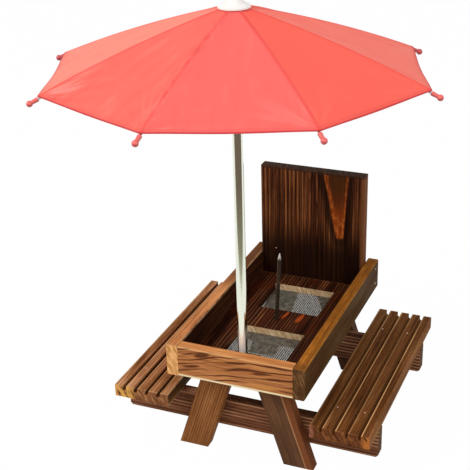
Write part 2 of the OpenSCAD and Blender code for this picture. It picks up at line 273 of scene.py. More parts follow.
def scorched(node, tones, grain, pith, pitch, lines, seed, width=0.5, clouds=0.3, fibres=0.3, sway=1.0,
             worn=0.0, worn_tone=None, ends=None, end_glow=(), figure=None, faces=()):
    """Scorched and brushed softwood. The hard rings stand up as straight, slightly lighter lines.

    pith is the middle of the tree, across the face and through the board, and pitch a year's growth.
    """
    f = Finish(node + "_wood", Specular_IOR_Level=0.03)
    x, y, z = f.place()
    a, b, c = (grain if callable(grain) else GRAINS[grain])(x, y, z)
    # rings round a pith that lies off the board, nearly straight along the grain
    drift = (f.noise(a / 330 + seed, b / 45, c / 45, 1.0) - 0.5) * (sway * 2.6 * pitch)
    ripple = (f.noise(a / 60, b / 8 + seed, c / 8, 2.0) - 0.5) * (sway * 0.7 * pitch)
    far = ((b - pith[0]) ** 2.0 + (c - pith[1]) ** 2.0).root()
    turn = (far + drift + ripple) / pitch
    ring = turn.part()
    hard = ring.rise(0.86 - width, 0.80) * ring.rise(1.0, 0.86)
    # some rings are strong and some hardly show
    each = f.noise(turn / 1.9 + seed, a / 240, 0.5, 1.0)
    hard = hard * each.rise(0.30, 0.62) * 1.2
    fibre = f.noise(a / 42 + seed, b / 0.9, c / 0.9, 3.0, 0.6)
    thread = f.noise(a / 90 + seed, b / 2.4, c / 2.4, 2.0, 0.6)
    cloud = f.noise(a / 75, b / 14 + seed, c / 14, 3.0, 0.6)
    speck = f.noise(a / 7 + seed, b / 1.6, c / 1.6 + seed, 3.0, 0.7)
    tone = hard * lines + (cloud - 0.5) * (2.0 * clouds) + (fibre + thread - 1.0) * (1.8 * fibres)
    tone = tone + (speck - 0.5) * 0.2 + (0.44 - 0.3 * lines)

    def toned(codes):
        return f.ramp(tone, *zip((0.12, 0.28, 0.44, 0.64, 0.9), codes))

    colour = toned(tones)
    ways = dict(zip("xyz", f.facing()))
    # a face that looks one way takes other tones; on the inner faces of the rails and the left bench this is
    # painted shade, on the right bench's +x walls painted light
    for way, other in faces:
        looks = ways[way[1]] if way[0] == "+" else -ways[way[1]]
        colour = f.mix(looks.rise(0.5, 0.8), colour, toned(other))
    if figure:
        colour = figure(f, colour, x, y, z, fibre)
    if worn:
        # near an edge means near two of the box's faces at once
        gap = [(v - low).least(high - v) for v, low, high in zip((x, y, z), *mm_box(node))]
        near = gap[0].least(gap[1]).most(gap[0].most(gap[1]).least(gap[2]))
        rub = f.noise(a / 14 + seed, b / 3, c / 3, 3.0, 0.7)
        colour = f.mix(near.rise(1.7, 0.3) * rub.rise(0.36, 0.58) * worn, colour, worn_tone)
    if ends:
        cut = abs(ways[grain]).rise(0.55, 0.8)
        streak = f.noise((b + c * 0.55) / 2.4 + seed, (c - b) / 14, a / 30, 3.0, 0.6)
        raw = f.ramp(streak * 0.75 + speck * 0.25, *zip((0.34, 0.50, 0.64), ends))
        for (low, high), tone_there in end_glow:
            raw = f.mix(x.rise(low, high) * streak.rise(0.30, 0.56), raw, tone_there)
        colour = f.mix(cut, colour, raw)
    return f.done(colour, 0.12 * fibre + 0.6 - 0.08 * hard, hard * 0.7 + fibre * 0.5 + thread * 0.3, 0.25, 0.7)


# Single bright rings of the back board: middle, half width and strength
BRIGHT_RINGS = (
    (-45.3, 1.3, 0.5), (-37.3, 1.1, 0.55), (-25.7, 1.1, 0.7), (-19.4, 0.8, 0.3), (-13.8, 1.1, 0.8),
    (-6.8, 1.0, 0.75), (-2.2, 1.0, 0.7), (4.6, 1.1, 0.75), (9.9, 1.0, 0.4), (41.3, 1.2, 0.35))
FLAME_TOP = BOARD_TOP - 3.0


def flame(f, colour, x, y, z, fibre):
    """The back board's figure: an orange tongue that narrows to a blunt point, in a nearly black surround."""
    wander = (f.noise(x / 9, 3.0, z / 24, 2.0, 0.5) - 0.5) * 2.4
    # bright rings, lost in soot towards the tray
    lean = x + (f.noise(x / 12, 9.0, z / 50, 1.0) - 0.5) * 2.2
    bright = reduce(Number.most, [lean.band(middle, wide) * strength for middle, wide, strength in BRIGHT_RINGS])
    patchy = f.noise(x / 4, 2.0, z / 30, 2.0, 0.6).rise(0.30, 0.60)
    colour = f.mix(bright * patchy * z.rise(118.0, 152.0), colour, "9A5C34")
    # how far inside the tongue's two edges
    left = x - 11.0 - (FLAME_TOP - z) * 0.2133 + wander
    right = 34.7 - (FLAME_TOP - z) * 0.07 - x + wander * 0.5
    within = left.least(right)
    surround = within.rise(-10.0, -3.0) * z.rise(96.0, 128.0) * 0.85
    colour = f.mix(surround.most(z.rise(156.0, 112.0) * 0.9), colour, "190B06")
    inside = within.rise(-0.7, 0.5) * z.rise(130.5, 134.0)
    up = z.rise(138.0, 186.0)
    heart = f.mix(up, "8A3C12", "4C2A12")
    heart = f.mix(fibre.rise(0.38, 0.62) * 0.5, heart, "33180A")
    arm_left = left.rise(-0.3, 0.8) * left.rise(5.6, 2.6)
    arm_right = right.rise(-0.3, 0.4) * right.rise(2.6, 1.2)
    low = z.rise(166.0, 146.0)
    hot = (arm_left * (0.85 - 0.3 * up)).most(arm_right * (0.8 - 0.2 * up)).most(low * 0.55)
    spark = f.noise(x / 2.4, 5.0, z / 6, 3.0, 0.6)
    ember = f.ramp(spark * 0.7 + fibre * 0.3, (0.34, "5E2A10"), (0.50, "964416"), (0.66, "CE7A38"))
    fleck = f.noise(x / 1.1, 8.0, z / 1.5, 2.0, 0.6).rise(0.66, 0.74)
    fleck = fleck * arm_left.most(arm_right * 0.6) * z.rise(150.0, 160.0)
    colour = f.mix(inside, colour, f.mix(hot, heart, ember))
    colour = f.mix(inside * fleck * 0.8, colour, "E8A878")
    # a warmer strip down the right edge and a dark upper edge
    colour = f.mix(x.rise(45.8, 48.4) * 0.75, colour, "7A4C2C")
    return f.mix(z.rise(BOARD_TOP - 3.0, BOARD_TOP - 1.4) * 0.8, colour, "33231A")


# The front rail's streaks swing up to the right, and its knots are lenses along them: x, z, length, height
SWING, BEND = 0.165, 0.00115
KNOTS = ((-38.0, 91.0, 9.0, 1.7), (-28.0, 104.0, 8.0, 2.6), (1.0, 102.0, 11.0, 1.6), (24.0, 97.0, 10.0, 1.2))


def rail_streaks(f, colour, x, y, z, fibre):
    """Dark streaks that swing up across the front rail, with a few lens-shaped dark knots."""
    front = y.rise(-19.0, -19.7)
    swing = z - SWING * x + BEND * (x * x) + (f.noise(x / 40, 1.0, z / 12, 1.0) - 0.5) * 5.0
    count = swing / 5.2 + (f.noise(x / 70, 7.0, swing / 12, 1.0) - 0.5) * 1.2
    held = f.noise(x / 44 + 3.0, 7.0, count / 1.3, 1.0)
    dark = abs(count.part() - 0.5).rise(0.20, 0.06) * held.rise(0.34, 0.50)
    thin = f.noise(x / 70, 3.0, swing / 1.2, 1.0, 0.5).rise(0.56, 0.72) * 0.4
    for knot_x, knot_z, long, tall in KNOTS:
        across = swing - (knot_z - SWING * knot_x + BEND * knot_x * knot_x)
        dark = dark.most((((x - knot_x) / long) ** 2.0 + (across / tall) ** 2.0).rise(1.2, 0.3) * 0.9)
    gold = f.noise(x / 46, 4.0, swing / 4.2, 2.0).rise(0.52, 0.66)
    colour = f.mix(gold * front * 0.45, colour, "CC8E4A")
    red = f.noise(x / 50, 8.0, swing / 3.0, 1.0).rise(0.54, 0.68)
    colour = f.mix(red * front * 0.35, colour, "8A4A2C")
    colour = f.mix(dark.most(thin) * front * 0.95, colour, "4C2614")
    # pale lines where the long edges are rounded: wear, and a painted highlight
    colour = f.mix(z.rise(RAIL_TOP - 1.4, RAIL_TOP - 0.4) * front * 0.45, colour, "E6C08A")
    return f.mix(z.rise(TRAY_Z + 2.8, TRAY_Z + 1.6) * front * 0.85, colour, "EDDDB2")


def rail_top_left(f, colour, x, y, z, fibre):
    """Top of the left rail: streaked, browner towards the back board."""
    top = z.rise(RAIL_TOP - 0.6, RAIL_TOP - 0.1)
    streak = f.noise(x / 1.3, y / 55, 4.0, 2.0, 0.6)
    colour = f.mix(streak.rise(0.48, 0.36) * top * 0.5, colour, "8E5A32")
    colour = f.mix(streak.rise(0.56, 0.68) * top * 0.45, colour, "EDB87C")
    return f.mix(y.rise(70.0, 135.0) * top * 0.9, colour, "5C3820")


def rail_top_right(f, colour, x, y, z, fibre):
    """Top of the right rail: orange with brown clouds, darker at its front corner and towards the rear."""
    top = z.rise(RAIL_TOP - 0.6, RAIL_TOP - 0.1)
    cloud = f.noise(x / 3.4, y / 16, 6.0, 3.0, 0.6)
    colour = f.mix(cloud.rise(0.56, 0.70) * top * 0.5, colour, "C8823C")
    colour = f.mix(cloud.rise(0.46, 0.34) * top * 0.6, colour, "6A4016")
    colour = f.mix(y.rise(-4.0, -16.0) * top * 0.5, colour, "54341C")
    return f.mix(y.rise(60.0, 190.0) * top * 0.3, colour, "6E3E12")


# Two small tongues in the floor's bar: x, y, length, width
TONGUES = ((1.3, 96.0, 9.0, 1.6), (15.4, 95.0, 9.5, 2.6))
TONGUE_LEAN = 0.12


def tray_flames(f, colour, x, y, z, fibre):
    """Two small orange tongues in the bar between the windows."""
    tongue = reduce(Number.most, [
        (((x - at_x - (y - at_y) * TONGUE_LEAN) / wide) ** 2.0 + ((y - at_y) / long) ** 2.0).rise(1.1, 0.4)
        for at_x, at_y, long, wide in TONGUES])
    top = z.rise(FLOOR_TOP - 0.7, FLOOR_TOP - 0.2)
    colour = f.mix(f.noise(x / 9, y / 40, 2.0, 2.0).rise(0.50, 0.66) * top * 0.6, colour, "4E200E")
    return f.mix(tongue * top * 0.85, colour, f.mix(fibre, "8A3810", "CC6424"))


def leg_arris(f, colour, x, y, z, fibre):
    """A pale line down the right front leg, with warmer wood outside it."""
    across = x * math.cos(LEG_LEAN) + z * math.sin(LEG_LEAN)
    colour = f.mix(across.rise(51.8, 53.0) * 0.7, colour, "7A4526")
    return f.mix(across.band(52.2, 1.0) * (0.3 + 0.8 * fibre), colour, "B8845A")


def slat_edges(right, wear_and_highlight, painted_wall_light, lit_from, lit_to, lit):
    """Pale lines along the left edge of each slat of a bench, partly wear and partly a painted highlight, and
    painted light on the grooves' walls.

    The strength of each slat's pale line is given from the tray outwards; the heights are below the bench's top.
    """
    inner = [BENCH_X + i * (SLAT_W + GROOVE_W) for i in range(SLATS)]
    left_edges = inner if right else [-(edge + SLAT_W) for edge in inner]
    last = BENCH_X + BENCH_W if right else -BENCH_X

    def figure(f, colour, x, y, z, fibre):
        along = f.noise(x / 3, y / 60, 1.0, 2.0)
        lines = [x.band(edge + 0.5, 0.85) * strength for edge, strength in zip(left_edges, wear_and_highlight)]
        nearest = reduce(Number.most, lines)
        high = z.rise(BENCH_TOP - 1.2, BENCH_TOP - 0.3)
        # painted light on the groove walls that face +x, near the bench's top
        wall = f.facing()[0].rise(0.5, 0.8) * x.rise(last - 0.6, last - 1.2)
        colour = f.mix(wall * (z.rise(BENCH_TOP - lit_from, BENCH_TOP - lit_to) * lit), colour, painted_wall_light)
        # pale lines along each slat's left edge: wear, and a painted highlight on the rounded arris
        return f.mix(nearest * high * along.rise(0.25, 0.5), colour, "E2B478")
    return figure


LEFT_SLATS = slat_edges(
    right=False, wear_and_highlight=(0.45,) * SLATS, painted_wall_light="C89A6C", lit_from=3.2, lit_to=1.0, lit=0.7)
RIGHT_SLATS = slat_edges(
    right=True, wear_and_highlight=(0.2, 0.75, 1.0, 0.4, 1.0), painted_wall_light="98663A", lit_from=6.8, lit_to=4.5, lit=0.9)

# Each wood's tones from darkest to lightest
HONEY = ("5A341C", "8A5631", "A96D40", "C88C56", "E2B47E")
HONEY_TOP = ("8A542A", "AA6E3A", "C4864E", "EAB070", "F6CC92")
PALE_TOP = ("744A2A", "9A6840", "C88650", "E2A86C", "F2CC9A")
DARK_RAIL = ("2C1806", "40260F", "4E341A", "5E4A2C", "8A6A44")
ORANGE_TOP = ("54300E", "6E4218", "96601E", "BC7C2C", "DC9C48")
BOARD = ("1E0D06", "31170C", "4E2A15", "6E4225", "9E6638")
BOARD_EDGE = ("24160C", "322112", "402C1A", "543F2C", "6A5040")
# soot tones, also used as painted shade on the rails' faces towards the tray
SOOT_AND_SHADE = ("190A04", "241008", "381D10", "603A22", "8A5A34")
BENCH = ("5C3416", "7E4E28", "9E6A42", "C8946A", "E8C6A0")
# painted shade for the left bench's side towards the tray
BENCH_PAINTED_SHADE = ("281709", "36210F", "462C16", "5E3E20", "805A32")
BENCH_DARK = ("3A1F0A", "502E12", "6E431F", "8C6036", "B4905E")
# painted light for the right bench's walls that face +x, against the shade in its grooves
BENCH_WALL_PAINTED_LIGHT = ("4A2A0E", "623A16", "7C4E26", "9A6C3E", "BC9060")
BEAM = ("3A200F", "502E1B", "724832", "9C6E50", "BE946C")
LEG = ("4C2C14", "683F20", "7E4F2B", "946139", "B58452")
LEG_DARK = ("3A2416", "4C3120", "583C29", "724D32", "9A7450")
# and of its cut ends
RAW_ENDS = ("9A6636", "D09A5E", "EFBA80")
DARK_ENDS = ("3A2412", "54381F", "7C5838")
CORNER_ENDS = ("3A1E10", "5C341C", "84522C")
BOARD_ENDS = ("24160E", "362519", "4C382B")
WINDOW_ENDS = ("A8845C", "CDB086", "E6D2AC")
SLAT_ENDS = ("4E2E1A", "7C4E30", "A87850")

WOODS = {
    "front_rail": dict(
        tones=HONEY, grain="x", seed=3.1, pith=(-60.0, -20.0), pitch=2.4, lines=0.05, fibres=0.25,
        # its face towards the tray is darkened with painted shade
        figure=rail_streaks, faces=(("+z", HONEY_TOP), ("+y", SOOT_AND_SHADE))),
    "side_rail_left": dict(
        tones=PALE_TOP, grain="y", seed=7.7, pith=(-160.0, 10.0), pitch=1.7, lines=0.10, fibres=0.3,
        # its inner face is darkened with painted shade
        worn=0.5, worn_tone="E0BC8C", ends=RAW_ENDS, figure=rail_top_left, faces=(("+x", SOOT_AND_SHADE),)),
    "side_rail_right": dict(
        tones=DARK_RAIL, grain="y", seed=11.4, pith=(-40.0, 8.0), pitch=1.7, lines=0.08, fibres=0.25,
        worn=0.25, worn_tone="B98C50", ends=DARK_ENDS, figure=rail_top_right,
        # its inner face is darkened with painted shade
        faces=(("+z", ORANGE_TOP), ("-x", SOOT_AND_SHADE))),
    "back_board": dict(
        tones=BOARD, grain="z", seed=5.2, pith=(-150.0, 178.0), pitch=4.2, lines=0.22, width=0.35,
        clouds=0.25, fibres=0.5, sway=0.6, worn=0.2, worn_tone="7A5638", ends=BOARD_ENDS, figure=flame,
        faces=(("+z", BOARD_EDGE),)),
    "floor_board": dict(
        tones=SOOT_AND_SHADE, grain="y", seed=9.3, pith=(150.0, 86.0), pitch=3.2, lines=0.3, worn=0.15,
        worn_tone="A67A48", ends=WINDOW_ENDS, figure=tray_flames),
    "pole_block": dict(
        tones=SOOT_AND_SHADE, grain="x", seed=2.2, pith=(30.0, 60.0), pitch=2.8, lines=0.3, worn=0.3,
        worn_tone="8A6242"),
    "bench_left": dict(
        tones=BENCH, grain="y", seed=4.6, pith=(20.0, 50.0), pitch=2.1, lines=0.12, fibres=0.4, clouds=0.4,
        figure=LEFT_SLATS, worn=0.6, worn_tone="D8B080", ends=SLAT_ENDS,
        # its side towards the tray is darkened with painted shade
        end_glow=(((-92.0, -100.0), "D09A50"),), faces=(("+x", BENCH_PAINTED_SHADE),)),
    "bench_right": dict(
        tones=BENCH_DARK, grain="y", seed=8.8, pith=(0.0, 50.0), pitch=2.2, lines=0.08, fibres=0.3,
        figure=RIGHT_SLATS, worn=0.3, worn_tone="C08A5C", ends=CORNER_ENDS,
        # its walls that face +x are lightened with painted light
        end_glow=(((104.0, 110.0), "A8642E"), ((67.5, 64.5), "8E5A46")), faces=(("+x", BENCH_WALL_PAINTED_LIGHT),)),
    "front_beam": dict(
        tones=BEAM, grain="x", seed=6.4, pith=(-120.0, 10.0), pitch=3.3, lines=0.36, width=0.62,
        clouds=0.15, sway=0.4, worn=0.4, worn_tone="8A6446", ends=DARK_ENDS),
    "rear_beam": dict(
        tones=BEAM, grain="x", seed=12.4, pith=(-120.0, 160.0), pitch=3.3, lines=0.36, width=0.62,
        clouds=0.15, sway=0.4, worn=0.4, worn_tone="8A6446", ends=DARK_ENDS),
    "front_leg_left": dict(
        tones=LEG, grain=slanted(-1), seed=1.3, pith=(-190.0, 4.0), pitch=2.1, lines=0.22, width=0.55,
        sway=0.5),
    "front_leg_right": dict(
        tones=LEG_DARK, grain=slanted(1), seed=2.9, pith=(190.0, 4.0), pitch=2.6, lines=0.06, fibres=0.22,
        figure=leg_arris),
    "rear_leg_left": dict(
        tones=LEG, grain=slanted(-1), seed=6.1, pith=(-190.0, 160.0), pitch=2.1, lines=0.22),
    "rear_leg_right": dict(
        tones=LEG_DARK, grain=slanted(1), seed=7.2, pith=(190.0, 160.0), pitch=2.4, lines=0.12),
}
for node, look in WOODS.items():
    dress(node, scorched(node, **look))


# Metal and plastic
def chrome_finish():
    """Bright chrome, a little wiped and spotted. Its foot has a painted reflection: the dark tray on both sides of
    a pale core.
    """
    f = Finish("pole_chrome")
    x, y, z = f.place()
    wipe = f.noise(x / 3, y / 3, z / 40, 3.0, 0.6)
    spot = f.noise(x / 1.2, y / 1.2, z / 1.6, 2.0)
    out_x, out_y = f.facing()[:2]
    # painted reflection at the pole's foot: a pale core facing the front between dark sides, with less metal there
    core = (out_x * 0.20 - out_y * 0.98).rise(0.62, 0.84)
    foot = z.rise(130.0, 112.0) * (-out_y).rise(-0.1, 0.2)
    colour = f.mix(wipe, "E2E6D4", "F2F4E4")
    colour = f.mix(foot, colour, f.mix(core, "2E1C12", "F0E2D6"))
    f.feed(f.shader.inputs["Metallic"], 1.0 - 0.9 * foot)
    return f.done(colour, 0.09 + 0.07 * wipe + 0.05 * spot.rise(0.6, 0.75))


def wire_finish(name, low, high, roughness):
    """Steel or copper wire, slightly patchy."""
    f = Finish(name, Metallic=1.0)
    x, y, z = f.place()
    patch = f.noise(x / 4, y / 4, z / 4, 3.0, 0.6)
    return f.done(f.mix(patch, low, high), patch * 0.2 + roughness, f.noise(x, y, z, 2.0), 0.04)


def net_finish():
    """Dull grey wire, dusty in patches."""
    f = Finish("net_wire", Specular_IOR_Level=0.3)
    x, y, z = f.place()
    patch = f.noise(x / 5, y / 5, z / 5, 3.0, 0.6)
    colour = f.ramp(patch, (0.35, "4E4D44"), (0.65, "7E7E70"))
    return f.done(colour, patch * 0.2 + 0.4, f.noise(x, y, z, 2.0), 0.04)


def spike_finish():
    """A dark rusty nail with a bright ground point."""
    f = Finish("corn_spike_steel", Metallic=1.0)
    x, y, z = f.place()
    rust = f.noise(x / 2.2, y / 2.2, z / 6, 4.0, 0.65)
    shank = f.ramp(rust, (0.3, "2E2620"), (0.55, "51463B"), (0.75, "7A5A3C"))
    colour = f.mix(z.rise(145.5, 150.0), shank, "CFCBC2")
    return f.done(colour, 0.55 - 0.25 * z.rise(144.0, 150.0) + 0.1 * rust, rust, 0.1)


def moulded(f, low, high):
    """The slightly cloudy colour and the faint ripple of moulded plastic."""
    x, y, z = f.place()
    cloud = f.noise(x / 6, y / 6, z / 6, 3.0, 0.55)
    return f.mix(cloud, low, high), cloud, f.noise(x / 0.8, y / 0.8, z / 0.8, 2.0)


def white_finish():
    f = Finish("white_plastic", Specular_IOR_Level=0.5, Subsurface_Weight=0.1, Subsurface_Scale=0.002)
    colour, cloud, skin = moulded(f, "EDEAE6", "F7F5F2")
    return f.done(colour, 0.3 + 0.08 * cloud, skin, 0.02, 0.4)


def tip_finish():
    """Coral plastic: painted shade on the balls' undersides, and a deeper red towards the back and left."""
    f = Finish("coral_plastic", Specular_IOR_Level=0.5)
    colour, cloud, skin = moulded(f, "E45E58", "EC7068")
    x, y, z = f.place()
    # deeper red towards the back and left
    colour = f.mix((y - x * 0.3).rise(-60.0, 30.0) * 0.8, colour, "C04048")
    # painted shade on the undersides
    colour = f.mix((-f.facing()[2]).rise(-0.55, 0.35) * 0.75, colour, "9A3A3C")
    return f.done(colour, 0.28 + 0.08 * cloud, skin, 0.02, 0.4)


WHITE_PLASTIC = white_finish()
CORAL_PLASTIC = tip_finish()
RIB_STEEL = wire_finish("rib_steel", "B9BBBC", "D6D7D7", 0.18)
dress("pole", chrome_finish())
dress("corn_spike", spike_finish())
for node in ("crown", "runner", "top_cap"):
    dress(node, WHITE_PLASTIC)
for k in RIBS:
    dress(f"rib_{k}", RIB_STEEL)
    dress(f"stretcher_{k}", RIB_STEEL)
    dress(f"tip_{k}", CORAL_PLASTIC)


# The cloth. Gore k lies between rib k and the next one; gore 7 faces the front.
# how much paler coral each gore is painted: painted light, none on the front gores and most on gores 4 and 5
GORE_PAINTED_LIGHT = (0.38, 0.3, 0.4, 0.7, 1.0, 0.08, 0.0, 0.0)
CLOTH_START = -2.6            # where the frame's solid cloth starts on the rib, counted from its hinge
CLOTH_SHOWN = 0.016           # share left bare there, so that the folded cloth clears the cap
CROWN_RISE, RIM_RISE = 2.8, 1.25
BOW, DIP = 3.0, 0.8
RIM_IN, RIM_DOWN, RIM_DOWN_FROM = 1.1, 1.5, 0.95
TOP_SKIN, UNDER_SKIN, MID_SKIN = 0.62, 0.27, 0.4
SEAM_H, SEAM_W = 0.28, 1.1
HEM_W, HEM_H = 3.4, 0.16
ROWS, COLS, CROWDING = 30, 12, 1.25
THREAD_PITCH, STITCH_PITCH = 0.55, 1.9


def cloth_finish():
    """Coral plain weave with a sewn seam on each rib and a stitched hem at the rim."""
    f = Finish("canopy_cloth", Sheen_Weight=0.2, Sheen_Roughness=0.45, Sheen_Tint="FF9A88", Specular_IOR_Level=0.3)
    labels = ("out_mm", "off_mm", "rim_mm", "across_mm", "fade", "gore")
    u, v, rim, across, fade, gore = [f.own(label) for label in labels]
    left_gore, front_gore, right_gore = [gore.band(number, 0.5) for number in (6.0, 7.0, 8.0)]
    left_half = across.rise(-1.0, 1.0)
    weave = (u * (2 * math.pi / THREAD_PITCH)).sine() * (v * (2 * math.pi / THREAD_PITCH)).sine()
    thread = f.noise(u / 0.9, across / 14, gore, 2.0) + f.noise(u / 14, across / 0.9, gore, 2.0)
    cloud = f.noise(u / 45, across / 30, gore * 2.3, 3.0, 0.55)
    gather = f.noise(u / 30, across / 1.6, gore * 3.1, 2.0) * u.rise(55.0, 12.0)
    # the folds' painted shade and highlight are weaker on the right gore
    fold = (f.noise(u / 38, across / 8, gore * 1.7, 2.0, 0.55) - 0.5) * (1.0 - right_gore * 0.7) + 0.5
    # the seam on rib 7, at the front left, is crumpled, with a band of painted shade beside it
    beside_rib_7 = front_gore * left_half + left_gore * (1.0 - left_half)
    crumple = f.noise(u / 13, v / 4, 2.0, 3.0, 0.65)
    seam = v.rise(1.9, 0.6) * (0.7 + 0.3 * u.rise(60.0, 15.0))
    seam = seam * (1.0 - 0.6 * beside_rib_7 * crumple.rise(0.64, 0.36))
    # each corner is creased by the pull of its tip, the far left one most, with painted highlight and shade along
    # the creases
    reach = (rim * rim + v * v).root()
    pull = f.noise(v / (rim + v + 0.01) * 6.0, reach / 50, gore * 1.3 + left_half * 5.0, 1.0)
    creased = reach.rise(56.0, 12.0) * reach.rise(3.0, 12.0)
    creased = creased * (0.32 + 0.68 * left_gore * left_half - 0.2 * right_gore)
    stitch = v.band(2.1, 0.35) * abs((u / STITCH_PITCH).part() - 0.5).rise(0.42, 0.30)
    sewn = rim.band(3.0, 0.35) * abs((v / STITCH_PITCH).part() - 0.5).rise(0.42, 0.30)
    hem = rim.rise(3.6, 3.2)
    colour = f.mix(cloud, "FD6256", "FF6E60")
    for amount, tone in (
            ((thread - 1.0) * 0.5 + 0.06, "F4584E"),
            # painted light: a paler coral on the gores away from the front
            (fade * 0.9, "FF9280"),
            # painted shade and highlight along the folds, and painted shade in the gathers near the crown
            (fold.rise(0.50, 0.30) * 0.22, "E65248"),
            (fold.rise(0.55, 0.72) * 0.22, "FF8E80"),
            (gather.rise(0.45, 0.70) * 0.3, "D9483F"),
            # painted light and shade: the front gore a duller coral, the right gore a brighter red
            (front_gore * 0.5, "F56A68"),
            (right_gore * 0.5, "FF5E4C"),
            # painted highlight and shade along the corner creases
            (pull.rise(0.50, 0.64) * creased * 0.55, "FF9C92"),
            (pull.rise(0.48, 0.36) * creased * 0.5, "DE504A"),
            # painted shade beside the crumpled seam
            (crumple.rise(0.45, 0.65) * v.rise(10.0, 2.0) * beside_rib_7 * 0.4, "E0504E"),
            (seam * 0.7, "EA3E3A"),
            (hem * 0.15 + rim.rise(1.4, 0.6) * 0.7, "C23238"),
            ((stitch + sewn) * 0.25, "D8403C")):
        colour = f.mix(amount, colour, tone)
    pucker = f.noise(u / 6, across / 2.4, gore, 2.0) * rim.rise(16.0, 3.0)
    height = weave * 0.10 + thread * 0.25 + pucker * 1.4 + gather * 2.5 + fold * 3.0 + hem * 0.5
    return f.done(colour, 0.72 + 0.08 * (thread - 1.0), height - (stitch + sewn) * 0.5, 0.16, 0.5)


def cloth_point(t, v, lift):
    """A point of the half gore beside a rib: t runs out from the crown, v across to the middle of the gore."""
    swell = math.sin(math.pi / 2 * v) ** 2
    arch = 4 * t * (1 - t)
    u = CLOTH_START + (RIB_L - RIM_IN * swell - CLOTH_START) * t
    w = CROWN_RISE + (RIM_RISE - CROWN_RISE) * t + (BOW - DIP * swell) * arch + lift
    r = HINGE_R + u * math.cos(DROOP) + w * math.sin(DROOP)
    z = CROWN_Z - u * math.sin(DROOP) + w * math.cos(DROOP)
    z -= RIM_DOWN * swell * max(0.0, t - RIM_DOWN_FROM) / (1 - RIM_DOWN_FROM)
    mid = r * math.cos(HALF)
    return (r + (mid * math.cos(HALF) - r) * v, mid * math.sin(HALF) * v, z)


def row_place(i):
    """Where row i of the cloth lies between the crown and the rim."""
    return CLOTH_SHOWN + (1 - CLOTH_SHOWN) * i / ROWS


def turned(p, k, side):
    """Places a point of the first half gore on rib k, on its left (1) or right (-1)."""
    x, y, z = p
    a = math.radians(45 * (k - 1) + UMBRELLA_TURN)
    y *= side
    return Vector((x * math.cos(a) - y * math.sin(a), x * math.sin(a) + y * math.cos(a) + PLAN_Y, z)) * MM


def mesh_piece(name, points, faces, material, smooth=True):
    """A new piece from points in metres."""
    data = bpy.data.meshes.new(name)
    data.from_pydata([tuple(p) for p in points], [], faces)
    data.validate()
    piece = bpy.data.objects.new(name, data)
    bpy.context.scene.collection.objects.link(piece)
    data.materials.append(material)
    if smooth:
        data.polygons.foreach_set("use_smooth", [True] * len(data.polygons))
    return piece


def half_gore(name, k, side, material):
    """One half gore as a thin closed sheet, with a rolled seam on the rib and a folded hem at the rim."""
    points, marks = [], []
    for lift in (TOP_SKIN, UNDER_SKIN):
        for i in range(ROWS + 1):
            t = row_place(i)
            to_rim = (1 - t) * RIB_L
            middle = cloth_point(t, 1, 0)[1] / math.cos(HALF)
            for j in range(COLS + 1):
                v = (j / COLS) ** CROWDING
                off = cloth_point(t, v, 0)[1] / math.cos(HALF)
                seam = SEAM_H * math.exp(-(off / SEAM_W) ** 2)
                hem = HEM_H if to_rim < HEM_W else 0.0
                up = lift + (seam + hem if lift == TOP_SKIN else -hem * 0.5)
                points.append(turned(cloth_point(t, v, up), k, side))
                marks.append((RIB_L * t, off, to_rim, side * (middle - off)))
    under = (ROWS + 1) * (COLS + 1)
    faces = []

    def quad(a, b, c, d):
        faces.append((a, b, c, d) if side > 0 else (d, c, b, a))

    def at(i, j):
        return i * (COLS + 1) + j

    for i in range(ROWS):
        for j in range(COLS):
            quad(at(i, j), at(i + 1, j), at(i + 1, j + 1), at(i, j + 1))
            quad(under + at(i, j), under + at(i, j + 1), under + at(i + 1, j + 1), under + at(i + 1, j))
        quad(at(i, 0), under + at(i, 0), under + at(i + 1, 0), at(i + 1, 0))
        quad(at(i, COLS), at(i + 1, COLS), under + at(i + 1, COLS), under + at(i, COLS))
    for j in range(COLS):
        quad(at(0, j), at(0, j + 1), under + at(0, j + 1), under + at(0, j))
        quad(at(ROWS, j), under + at(ROWS, j), under + at(ROWS, j + 1), at(ROWS, j + 1))
    piece = mesh_piece(name, points, faces, material)
    data = piece.data
    gore = k if side > 0 else (k - 2) % len(RIBS) + 1
    stored = dict(zip(("out_mm", "off_mm", "rim_mm", "across_mm"), zip(*marks)))
    stored["fade"] = [GORE_PAINTED_LIGHT[gore - 1]] * len(points)
    stored["gore"] = [float(gore)] * len(points)
    for label, values in stored.items():
        data.attributes.new(label, "FLOAT", "POINT").data.foreach_set("value", values)
    # the outline stays crisp, the sheet smooth
    outline = set()
    for i in range(ROWS):
        outline |= {(at(i, 0), at(i + 1, 0)), (at(i, COLS), at(i + 1, COLS))}
    for j in range(COLS):
        outline |= {(at(0, j), at(0, j + 1)), (at(ROWS, j), at(ROWS, j + 1))}
    outline |= {(a + under, b + under) for a, b in outline}
    for edge in data.edges:
        edge.use_edge_sharp = tuple(sorted(edge.vertices)) in outline
    return piece


def half_gore_area():
    """Area of one half gore in square metres, from its middle skin."""
    p = [[Vector(cloth_point(row_place(i), j / COLS, MID_SKIN)) for j in range(COLS + 1)] for i in range(ROWS + 1)]
    total = 0.0
    for i in range(ROWS):
        for j in range(COLS):
            total += (p[i + 1][j] - p[i][j]).cross(p[i][j + 1] - p[i][j]).length / 2
            total += (p[i + 1][j] - p[i + 1][j + 1]).cross(p[i][j + 1] - p[i + 1][j + 1]).length / 2
    return total * MM * MM


CLOTH = cloth_finish()
GORE_AREA = half_gore_area()
for k in RIBS:
    for side, word in ((1, "left"), (-1, "right")):
        piece = half_gore(f"canopy_cloth_{k}_{word}", k, side, CLOTH)
        start, end = turned((70, 0, 360), k, side), turned((70, 10, 360), k, side)
        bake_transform(piece)
        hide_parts(f"canopy_{k}_{word}")


# The window net
NET_PITCH, NET_LAP, NET_EDGE = 1.8, 4.0, 0.4
STRAND_W, STRAND_H = 0.62, 0.17
NET_DOWN, CRIMP = 0.36, 0.18


